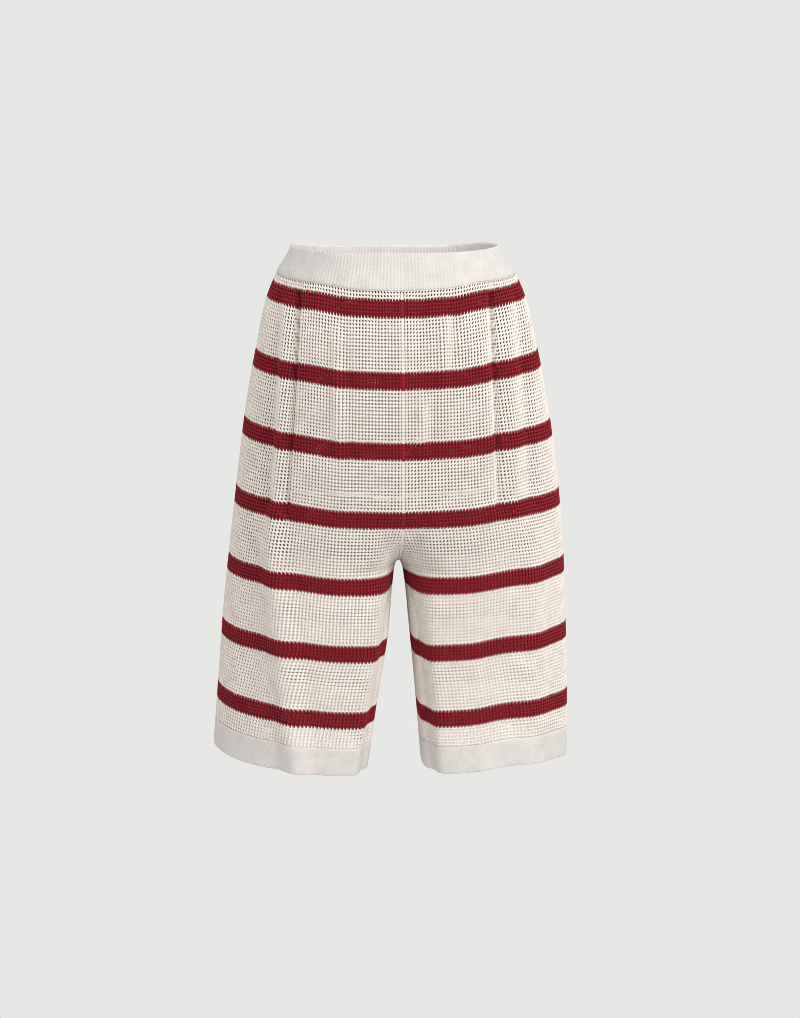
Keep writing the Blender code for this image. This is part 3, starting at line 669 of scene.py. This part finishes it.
def linked_seam(panels, column, z, half_width, height):
    """A seam as a cord with two ridges, one stitch of it for each row of knit, red in the stripes.

    Its profile runs across the seam: two humps with a dip between them outside and a flat back inside.
    Width and height swell and shrink by a cosine once a row. Both ends draw in to a point.
    """
    points, normals, rows = seam_line(panels, column, z)
    run = np.concatenate([[0.0], np.cumsum(np.linalg.norm(np.diff(points, axis=0), axis=1))])
    places = np.linspace(0.0, run[-1], int(run[-1] / (KNIT_ROW / 4)) + 1)
    points, normals = (np.stack([np.interp(places, run, values[:, axis]) for axis in range(3)], axis=1)
                       for values in (points, normals))
    rows = np.interp(places, run, rows)
    stitch = places / KNIT_ROW
    across = unit(np.cross(normals, np.gradient(points, axis=0)))
    swell = 1 + SEAM_SWELL * np.cos(2 * math.pi * stitch)
    ends = np.clip(np.minimum(places, places[-1] - places) / KNIT_ROW, 0.0, 1.0)
    width = half_width * (1 + SEAM_SPREAD * (swell - 1)) * np.sqrt(ends)
    rise = height * swell * np.sqrt(ends)
    tube = (points[:, None] + across[:, None] * (SEAM_PROFILE[:, 0] * width[:, None])[..., None]
            + normals[:, None] * (SEAM_PROFILE[:, 1] * rise[:, None])[..., None])
    count, around = tube.shape[:2]
    faces = ring_faces(count, around)[:, (0, 3, 2, 1)]
    inside = SEAM_PROFILE[:, 1] + np.roll(SEAM_PROFILE[:, 1], -1) <= 0
    # Faces on the seam's inside take slots 2 and 3, coloured as painted shade.
    slots = (is_red(rows[:-1])[:, None] + 2 * inside[None, :]).ravel()
    texture = np.broadcast_arrays(np.linspace(-0.5, 0.5, around)[None, :], -stitch[:, None])
    return tube.reshape(-1, 3), faces, np.stack(texture, axis=-1).reshape(-1, 2), slots


# ---------------------------------------------------------------- finishes

def add_node(tree, kind, inputs=(), **settings):
    """Adds a shader node with its settings. Each input is a value or the output linked to it."""
    made = tree.nodes.new("ShaderNode" + kind)
    for name, value in settings.items():
        setattr(made, name, value)
    for name, value in dict(inputs).items():
        if isinstance(value, bpy.types.NodeSocket):
            tree.links.new(value, made.inputs[name])
        else:
            made.inputs[name].default_value = value
    return made


def knotted(tree, places, fibres):
    """Height of the open knit's stitches: a knot at each crossing, on yarn of slanting plies and fibre.

    The knots are the sum of two cosines, one along the wales and one along the courses. Two plies to a
    wale and three to a course make a sine of about a third of that height.
    """
    turn = add_node(tree, "VectorMath", {0: places, 1: (2 * math.pi,) * 3}, operation="MULTIPLY").outputs[0]
    split = add_node(tree, "SeparateXYZ", {"Vector": turn})
    across, along = (add_node(tree, "Math", {0: split.outputs[axis]}, operation="COSINE").outputs[0]
                     for axis in "XY")
    knot = add_node(tree, "Math", {0: across, 1: along}, operation="ADD").outputs[0]
    slant = add_node(tree, "VectorMath", {0: turn, 1: (2.0, 3.0, 0.0)}, operation="DOT_PRODUCT")
    ply = add_node(tree, "Math", {0: slant.outputs["Value"]}, operation="SINE").outputs[0]
    plies = add_node(tree, "Math", {0: ply, 1: 0.35, 2: knot}, operation="MULTIPLY_ADD").outputs[0]
    return add_node(tree, "Math", {0: fibres, 1: 1.2, 2: plies}, operation="MULTIPLY_ADD").outputs[0]


def vee_stitches(tree, places, fibres):
    """Height of plain knit: columns of V stitches with a groove between the columns.

    A sine climbs the column once a stitch, and lags by 1.3 stitches for each stitch to the side.
    """
    split = add_node(tree, "SeparateXYZ", {"Vector": places})
    column = add_node(tree, "Math", {0: split.outputs["X"], 1: 0.5}, operation="PINGPONG").outputs[0]
    climb = add_node(tree, "Math", {0: column, 1: -1.3, 2: split.outputs["Y"]}, operation="MULTIPLY_ADD")
    turn = add_node(tree, "Math", {0: climb.outputs[0], 1: 2 * math.pi}, operation="MULTIPLY")
    stitch = add_node(tree, "Math", {0: turn.outputs[0]}, operation="SINE").outputs[0]
    ridge = add_node(tree, "Math", {0: column, 1: 5.0, 2: stitch}, operation="MULTIPLY_ADD").outputs[0]
    return add_node(tree, "Math", {0: fibres, 1: 1.5, 2: ridge}, operation="MULTIPLY_ADD").outputs[0]


def cotton(name, colour, pattern, depth, gap_shade, deep=None, through=0.0):
    """Spun cotton yarn, matt and a little hairy: a soft sheen, and a shade that wanders along the yarn.

    pattern gives the height of the stitches from the piece's own texture places, and depth their size.
    Between the stitches the colour is painted darker as shade, down to the share gaps. deep is the
    painted shade colour that the wrong side is darkened to inside the hips, where little light reaches.
    through is painted light: the yarn glows in its own colour at that share, standing in for the light
    that a single thickness would let in from outside.
    """
    made = bpy.data.materials.new(name)
    made.use_nodes = True
    made.diffuse_color = (*colour, 1.0)
    tree = made.node_tree
    shader = tree.nodes["Principled BSDF"]
    # Emission in the yarn's own colour at strength through is painted light: the yarn glows unless it is 0.
    for socket, value in (("Roughness", 0.88), ("Specular IOR Level", 0.15), ("Sheen Weight", 0.05),
                          ("Sheen Roughness", 0.45), ("Emission Color", (*colour, 1.0)),
                          ("Emission Strength", through)):
        shader.inputs[socket].default_value = value
    where = add_node(tree, "TexCoord").outputs
    fibres = add_node(tree, "TexNoise", {"Vector": where["Object"], "Scale": FIBRES, "Detail": 2.0})
    cloud = add_node(tree, "TexNoise", {"Vector": where["Object"], "Scale": CLOUDS, "Detail": 3.0})
    shade = add_node(tree, "MapRange", {"Value": cloud.outputs["Fac"], "From Min": 0.3, "From Max": 0.7,
                                        "To Min": 0.93, "To Max": 1.05})
    height = pattern(tree, where["UV"], fibres.outputs["Fac"])
    # Painted shade between the stitches: the colour darkens where the stitches' height is low, down to gaps.
    painted_gap_shade = add_node(tree, "MapRange", {"Value": height, "From Min": -0.2, "From Max": 2.2, "To Min": gap_shade,
                                       "To Max": 1.0})
    shade = add_node(tree, "Math", {0: shade.outputs[0], 1: painted_gap_shade.outputs[0]}, operation="MULTIPLY")
    tint = add_node(tree, "VectorMath", {0: colour, "Scale": shade.outputs[0]}, operation="SCALE").outputs[0]
    # Painted shade on the wrong side: deep is mixed in by height after LIGHT_INSIDE, darkest inside the
    # hips.
    if deep:
        split = add_node(tree, "SeparateXYZ", {"Vector": where["Object"]})
        up = add_node(tree, "MapRange", {"Value": split.outputs["Z"], "From Min": HEM_EDGE, "From Max": 0.0})
        lit = add_node(tree, "ValToRGB", {"Fac": up.outputs[0]})
        stops = lit.color_ramp.elements
        stops[0].color = (1.0, 1.0, 1.0, 1.0)
        for place, share in LIGHT_INSIDE:
            stop = stops[-1] if place == 1.0 else stops.new(place)
            stop.color = (share, share, share, 1.0)
        tint = add_node(tree, "Mix", {"Factor": lit.outputs["Color"], 4: deep, 5: tint},
                        data_type="VECTOR").outputs[1]
    tree.links.new(tint, shader.inputs["Base Color"])
    bump = add_node(tree, "Bump", {"Height": height, "Distance": depth})
    tree.links.new(bump.outputs[0], shader.inputs["Normal"])
    return made


# ---------------------------------------------------------------- pieces

def add_piece(name, points, faces, places, slots, materials, slot):
    """Welds the points that lie together and makes a smooth mesh object on the frame's root.

    Triangles that the weld folds shut are left out.
    """
    _, first, back = np.unique(np.round(points, 7), axis=0, return_index=True, return_inverse=True)
    faces = back.reshape(-1)[faces]
    corners = faces.shape[1]
    if corners == 3:
        whole = np.all(faces != np.roll(faces, -1, axis=1), axis=1)
        faces, slots = faces[whole], slots[whole]
    used, faces = np.unique(faces, return_inverse=True)
    faces = faces.reshape(-1)
    mesh = bpy.data.meshes.new(name)
    mesh.vertices.add(len(used))
    mesh.vertices.foreach_set("co", points[first][used].ravel())
    mesh.loops.add(faces.size)
    mesh.loops.foreach_set("vertex_index", faces)
    mesh.polygons.add(faces.size // corners)
    mesh.polygons.foreach_set("loop_start", np.arange(0, faces.size, corners))
    mesh.polygons.foreach_set("use_smooth", np.ones(faces.size // corners, bool))
    for material in materials:
        mesh.materials.append(material)
    mesh.polygons.foreach_set("material_index", slots.astype(np.int32))
    texture = mesh.uv_layers.new(name="Stitches")
    texture.data.foreach_set("uv", places[first][used][faces].ravel())
    mesh.update(calc_edges=True)
    mesh.validate()
    piece = bpy.data.objects.new(name, mesh)
    bpy.context.scene.collection.objects.link(piece)
    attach(piece, "root")
    return piece


def length_field(name, default, description):
    """A length that the user can change, in metres."""
    return FloatProperty(name=name, description=description, default=default, unit="LENGTH")


def share_field(name, default, description):
    """A plain number that the user can change."""
    return FloatProperty(name=name, description=description, default=default)


def power_field(name, default, description):
    """The power of a lamp, in watts."""
    return FloatProperty(name=name, description=description, default=default, unit="POWER")


def colour_field(name, default, description):
    """A colour that the user can change, given as sRGB hex."""
    return FloatVectorProperty(name=name, description=description, subtype="COLOR", default=linear(default))


class KnitSizes(bpy.types.PropertyGroup):
    """Sizes of the yarn and its stitches."""

    hole: length_field("Hole, hips", 0.0022, "Width of a hole on the outside of the cloth at the hips")
    hole_leg: length_field("Hole, legs", 0.0017, "Width of a hole on the outside of the cloth on the legs")
    narrowing: share_field("Narrowing, front", 0.95, "Width of a front hole inside over that outside")
    narrowing_red: share_field("Narrowing, stripes", 0.38, "The same in the front panels' red stripes")
    narrowing_back: share_field("Narrowing, back", 0.36, "The same in the back panels")
    crossing: length_field("Crossing", 0.0013, "Height of the crossings over the middle of the cloth")
    rim: length_field("Rim", 0.0004, "Height of a hole's rim over the middle of the cloth")
    back: length_field("Back", 0.0005, "Depth of the cloth's back behind its middle")
    unevenness: length_field("Unevenness", 0.00007, "How far stitches stray from their places")
    # The real rib is about 1.5 mm wide, too fine to show, so it is drawn coarser.
    rib: length_field("Rib", 0.0043, "Width of one rib of the waistband")
    rib_height: length_field("Rib height", 0.0004, "Height of the ribs, from groove to ridge")
    stitch: length_field("Stitch", 0.0018, "Width of a stitch in the hem bands")
    stitch_row: length_field("Stitch row", 0.0014, "Height of a stitch in the bands")
    seed: IntProperty(name="Seed", description="Start of the stitches' unevenness", default=7)


class KnitColours(bpy.types.PropertyGroup):
    """Colours of the yarns."""

    cream: colour_field("Cream", "#f4eae1", "Ground of the open knit")
    red: colour_field("Red", "#9d1e2a", "Stripes of the open knit")
    # The wrong sides' colours are painted shade: darker than the yarns near the openings, and dark brown
    # deep inside the hips.
    cream_inside_shade: colour_field("Cream, inside, painted shade", "#ddd2c6", "Painted shade on the ground's wrong side near the openings")
    cream_deep_shade: colour_field("Cream, deep inside, painted shade", "#33241a", "Painted shade on the ground's wrong side in the hips")
    red_inside_shade: colour_field("Red, inside, painted shade", "#6e1c24", "Painted shade on the stripes' wrong side near the openings")
    red_deep_shade: colour_field("Red, deep inside, painted shade", "#2a0a0c", "Painted shade on the stripes' wrong side in the hips")
    seam: colour_field("Seams", "#ece5dd", "Linked seams of the ground")
    band: colour_field("Bands", "#d8d2ce", "Waistband and hem bands")


class StudioSizes(bpy.types.PropertyGroup):
    """Light, backdrop and camera."""

    backdrop: colour_field("Backdrop", "#e7e7e5", "Colour of the paper all round")
    ambient: share_field("Ambient", 0.82, "Strength of the light from all round")
    key: power_field("Key", 50.0, "Power of the soft box to the right")
    fill: power_field("Fill", 17.0, "Power of the soft box to the left")
    overhead: power_field("Overhead", 28.0, "Power of the soft box above")
    distance: length_field("Camera distance", 3.0, "From the waist's middle, level")
    azimuth: FloatProperty(name="Camera azimuth", description="To the wearer's right of straight ahead",
                           default=math.radians(4.2), subtype="ANGLE", unit="ROTATION")
    height: length_field("Camera height", 0.2865, "Above the waist's middle")
    lens: FloatProperty(name="Lens", description="Focal length in millimetres", default=88.05, unit="CAMERA")


def cut_of(panel, first_row, last_row):
    """Flat size and area of part of a panel: its wales and courses at their own width and height."""
    rows = np.arange(first_row + 0.5, last_row)
    low, high = Course(panel, rows).ends()
    width = np.interp(KNIT_ROW * rows - WAIST_SEAM, -np.array(WALE_HEIGHTS), WALE_WIDTHS)
    area = float(((high - low)[:, 0] * width).sum() * KNIT_ROW)
    flat = (float((high.max() - low.min()) * width.max()), KNIT_ROW * len(rows))
    return flat, min(area, flat[0] * flat[1])


def knit_panels(context, spans):
    """Makes the open knit of each panel between its rows, with red and cream yarn, and their wrong sides in
    painted shade.
    """
    sizes, colours = context.scene.shorts_knit, context.scene.shorts_colours
    yarns = [cotton("Cream cotton, open knit", tuple(colours.cream), knotted, 0.00012, 0.90),
             cotton("Red cotton, open knit", tuple(colours.red), knotted, 0.00020, 0.38),
             # The wrong sides carry painted shade: dark inside the hips, lighter towards the openings.
             cotton("Cream cotton, wrong side", tuple(colours.cream_inside_shade), knotted, 0.00012, 0.90,
                    tuple(colours.cream_deep_shade)),
             cotton("Red cotton, wrong side", tuple(colours.red_inside_shade), knotted, 0.00012, 0.90,
                    tuple(colours.red_deep_shade))]
    for name, panel, first_row, last_row in spans:
        points, faces, places, slots = net(panel, sizes, first_row, last_row)
        piece = add_piece(name, points, faces, places, slots, yarns, "open_knit")
        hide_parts(panel)
        flat, area = cut_of(panel, first_row, last_row)


class SHORTS_OT_knit_fronts(bpy.types.Operator):
    """Knits the two front panels as an open net with red stripes"""

    bl_idname = "shorts.knit_fronts"
    bl_label = "Knit fronts"

    def execute(self, context):
        knit_panels(context, (("front_right_knit", "front_right", 0, ALL_ROWS),
                              ("front_left_knit", "front_left", 0, ALL_ROWS)))
        return {"FINISHED"}


class SHORTS_OT_knit_backs(bpy.types.Operator):
    """Knits the two back panels, which reach round the inside of the legs"""

    bl_idname = "shorts.knit_backs"
    bl_label = "Knit backs"

    def execute(self, context):
        knit_panels(context, (("back_right_seat_knit", "back_right", 0, SEAT_ROWS),
                              ("back_right_leg_knit", "back_right", SEAT_ROWS, ALL_ROWS),
                              ("back_left_seat_knit", "back_left", 0, SEAT_ROWS),
                              ("back_left_leg_knit", "back_left", SEAT_ROWS, ALL_ROWS)))
        return {"FINISHED"}


class SHORTS_OT_knit_waistband(bpy.types.Operator):
    """Knits the waistband: one by one rib, folded double"""

    bl_idname = "shorts.knit_waistband"
    bl_label = "Knit waistband"

    def execute(self, context):
        sizes, colour = context.scene.shorts_knit, tuple(context.scene.shorts_colours.band)
        wall = WAISTBAND_WALL - sizes.rib_height
        edge, seam = WAIST_EDGE, WAIST_SEAM - WAISTBAND_LAP
        runs = [arc_length(panel, WAIST_SEAM)[0] for panel in BANDS["waistband"]]
        columns = [RIB_POINTS * int(round(run / sizes.rib)) for run in runs]

        def relief(column, offset):
            """A cosine across each rib, lower where the cloth is pressed thin."""
            ribs = np.cos(column * 2 * math.pi / RIB_POINTS)
            return sizes.rib_height / 2 * ribs * np.clip(offset / (wall / 2), 0.2, 1.0)

        profile = folded_profile(seam, edge, wall, sizes.stitch_row)
        points, faces, places = band("waistband", seam, edge, profile, RIB_POINTS, columns, relief)
        # The rib's inside glows at 0.32 of its colour, painted light that brightens the inside of the band.
        ribs = [cotton("Cream cotton, one by one rib", colour, vee_stitches, 0.00008, 0.97),
                cotton("Cream cotton, rib inside", colour, vee_stitches, 0.00008, 0.97, through=0.32)]
        lines = len(profile[0])
        # Faces past the fold, on the inside of the band, take the glowing material.
        inner = np.arange(len(faces)) // (len(faces) // lines) > lines // 2
        piece = add_piece("waistband_rib", points, faces, places, inner, ribs, "plain_knit")
        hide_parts("waistband")
        return {"FINISHED"}


class SHORTS_OT_knit_hems(bpy.types.Operator):
    """Knits the two hem bands in plain knit, folded double"""

    bl_idname = "shorts.knit_hems"
    bl_label = "Knit hems"

    def execute(self, context):
        sizes, colours = context.scene.shorts_knit, context.scene.shorts_colours
        plain = cotton("Cream cotton, plain knit", tuple(colours.band), vee_stitches, 0.00004, 0.98)
        seam, edge = HEM_SEAM + HEM_LAP, HEM_EDGE
        profile = folded_profile(seam, edge, HEM_WALL, sizes.stitch_row)
        for name in ("hem_right", "hem_left"):
            runs = [arc_length(panel, HEM_SEAM)[0] for panel in BANDS[name]]
            columns = [int(round(run / sizes.stitch)) for run in runs]
            points, faces, places = band(name, seam, edge, profile, 1, columns)
            piece = add_piece(name + "_knit", points, faces[:, ::-1], places, np.zeros(len(faces)), [plain],
                              "plain_knit")
            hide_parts(name)
        return {"FINISHED"}


class SHORTS_OT_link_seams(bpy.types.Operator):
    """Links the panels along the centre, the sides and the inside of the legs"""

    bl_idname = "shorts.link_seams"
    bl_label = "Link seams"

    def execute(self, context):
        colours = context.scene.shorts_colours
        # The seam's inside materials take the deep painted-shade colours of the wrong side.
        yarns = [cotton(name, tuple(colour), vee_stitches, 0.00012, gap_shade) for name, colour, gap_shade in
                 (("Cream cotton, linking", colours.seam, 0.85), ("Red cotton, linking", colours.red, 0.6),
                  ("Cream cotton, linking inside", colours.cream_deep_shade, 0.9),
                  ("Red cotton, linking inside", colours.red_deep_shade, 0.9))]
        for name, panels, column, span, half_width, height in SEAMS:
            seam = linked_seam(panels, column, seam_heights(*span), half_width, height)
            add_piece(name, *seam, yarns, "open_knit")
        return {"FINISHED"}


def lit_paper(colour):
    """Matt paper lit evenly, which gives one pale tone all round: its colour is all its own light."""
    made = bpy.data.materials.new("Pale paper, lit evenly")
    made.use_nodes = True
    shader = made.node_tree.nodes["Principled BSDF"]
    for socket, value in (("Base Color", (0.0, 0.0, 0.0, 1.0)), ("Specular IOR Level", 0.0),
                          ("Emission Color", colour), ("Emission Strength", 1.0)):
        shader.inputs[socket].default_value = value
    return made


def aim(thing, place, target):
    """Puts a lamp or a camera at its place, looking at the target, and links it to the scene."""
    holder = bpy.data.objects.new(thing.name, thing)
    holder.location = place
    holder.rotation_euler = (Vector(target) - Vector(place)).to_track_quat("-Z", "Y").to_euler()
    bpy.context.scene.collection.objects.link(holder)
    return holder


class SHORTS_OT_set_stage(bpy.types.Operator):
    """Sets the paper dome all round, the lights and the camera"""

    bl_idname = "shorts.set_stage"
    bl_label = "Set stage"

    def execute(self, context):
        scene, studio = context.scene, context.scene.shorts_studio
        colour = (*studio.backdrop, 1.0)
        # The dome is a sphere, on a grid of longitudes and latitudes.
        around, rise = DOME_STEPS
        turn, up = np.meshgrid(np.linspace(0, 2 * math.pi, around + 1)[:-1],
                               np.linspace(-math.pi / 2, math.pi / 2, rise + 1))
        points = [np.cos(turn) * np.cos(up), np.sin(turn) * np.cos(up), np.sin(up)]
        points = DOME_RADIUS * np.stack(points, axis=-1)
        mesh = bpy.data.meshes.new("paper_dome")
        mesh.from_pydata(points.reshape(-1, 3).tolist(), [], ring_faces(rise + 1, around).tolist())
        mesh.materials.append(lit_paper(colour))
        dome = bpy.data.objects.new("paper_dome", mesh)
        dome.visible_diffuse = dome.visible_glossy = dome.visible_shadow = False
        scene.collection.objects.link(dome)

        for name, place, size in LIGHTS:
            lamp = bpy.data.lights.new(name, "AREA")
            lamp.energy = getattr(studio, name)
            lamp.size = size
            aim(lamp, place, LIGHTS_AIM)
        world = bpy.data.worlds.new("studio")
        world.use_nodes = True
        background = world.node_tree.nodes["Background"]
        background.inputs["Color"].default_value = colour
        background.inputs["Strength"].default_value = studio.ambient
        scene.world = world
        scene.view_settings.view_transform = "Standard"
        scene.cycles.filter_width = SHARPNESS

        lens = bpy.data.cameras.new("camera")
        lens.lens = studio.lens
        sideways, ahead = math.sin(studio.azimuth), math.cos(studio.azimuth)
        place = (-studio.distance * sideways, -studio.distance * ahead, studio.height)
        scene.camera = aim(lens, place, CAMERA_AIM)
        return {"FINISHED"}


class SHORTS_PT_sidebar(bpy.types.Panel):
    """Sizes, colours and steps of the shorts"""

    bl_idname = "SHORTS_PT_sidebar"
    bl_label = "Knitted shorts"
    bl_space_type = "VIEW_3D"
    bl_region_type = "UI"
    bl_category = "Shorts"

    def draw(self, context):
        for group in (context.scene.shorts_knit, context.scene.shorts_colours, context.scene.shorts_studio):
            box = self.layout.box()
            for name in group.__annotations__:
                box.prop(group, name)
        for step in STEPS:
            self.layout.operator(step.bl_idname)


STEPS = (SHORTS_OT_knit_fronts, SHORTS_OT_knit_backs, SHORTS_OT_knit_waistband, SHORTS_OT_knit_hems,
         SHORTS_OT_link_seams, SHORTS_OT_set_stage)
GROUPS = {"shorts_knit": KnitSizes, "shorts_colours": KnitColours, "shorts_studio": StudioSizes}
CLASSES = (*GROUPS.values(), *STEPS, SHORTS_PT_sidebar)


def register():
    """Registers the classes and gives the scene its groups of sizes and colours."""
    for made in CLASSES:
        bpy.utils.register_class(made)
    for name, group in GROUPS.items():
        setattr(bpy.types.Scene, name, PointerProperty(type=group))


def unregister():
    """Takes the groups and the classes away again."""
    for name in GROUPS:
        delattr(bpy.types.Scene, name)
    for made in reversed(CLASSES):
        bpy.utils.unregister_class(made)


def main():
    """Makes the shorts and their stage."""
    register()
    bpy.ops.shorts.knit_fronts()
    bpy.ops.shorts.knit_backs()
    bpy.ops.shorts.knit_waistband()
    bpy.ops.shorts.knit_hems()
    bpy.ops.shorts.link_seams()
    bpy.ops.shorts.set_stage()


if __name__ == "__main__":
    main()
